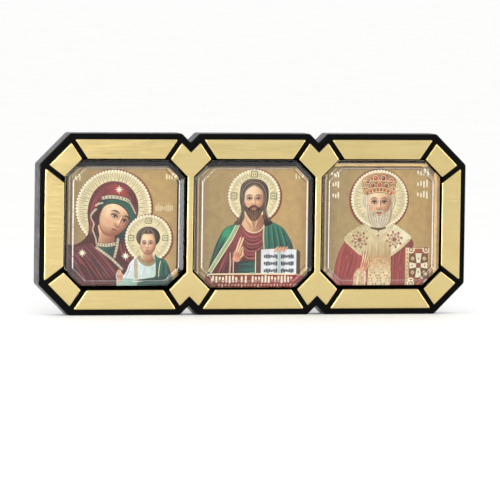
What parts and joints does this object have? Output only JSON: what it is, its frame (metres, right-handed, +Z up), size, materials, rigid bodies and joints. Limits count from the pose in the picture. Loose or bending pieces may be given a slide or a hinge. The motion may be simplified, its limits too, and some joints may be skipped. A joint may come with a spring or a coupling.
{
  "type": "triptych icon",
  "caption": "Small freestanding triptych of octagonal framed pictures: black moulded frame, gold front plates and clear bevelled covers over printed cards.",
  "frame": {"origin": "under the middle of the object, on the plane of its underside", "axes": "+X along the row of octagons, the front faces -Y, +Z up"},
  "size_m": [0.1252, 0.008, 0.0518],
  "materials": {
    "black_plastic": "black moulded plastic, satin gloss",
    "gold_plate": "bright gold-coloured plate, polished bevelled edges",
    "printed_card": "colour-printed card, ochre ground",
    "clear_plastic": "clear, polished"
  },
  "bodies": {
    "root": {"frame": "black_plastic", "gold_plate_left_top": "gold_plate", "gold_plate_left_bottom": "gold_plate", "gold_plate_left_side": "gold_plate", "gold_plate_left_upper_corner": "gold_plate", "gold_plate_left_lower_corner": "gold_plate", "gold_plate_left_to_centre": "gold_plate", "gold_plate_centre_top": "gold_plate", "gold_plate_centre_bottom": "gold_plate", "gold_plate_centre_to_right": "gold_plate", "gold_plate_right_top": "gold_plate", "gold_plate_right_bottom": "gold_plate", "gold_plate_right_side": "gold_plate", "gold_plate_right_upper_corner": "gold_plate", "gold_plate_right_lower_corner": "gold_plate", "picture_left": "printed_card", "picture_centre": "printed_card", "picture_right": "printed_card", "cover_left": "clear_plastic", "cover_centre": "clear_plastic", "cover_right": "clear_plastic"}
  },
  "joints": []
}
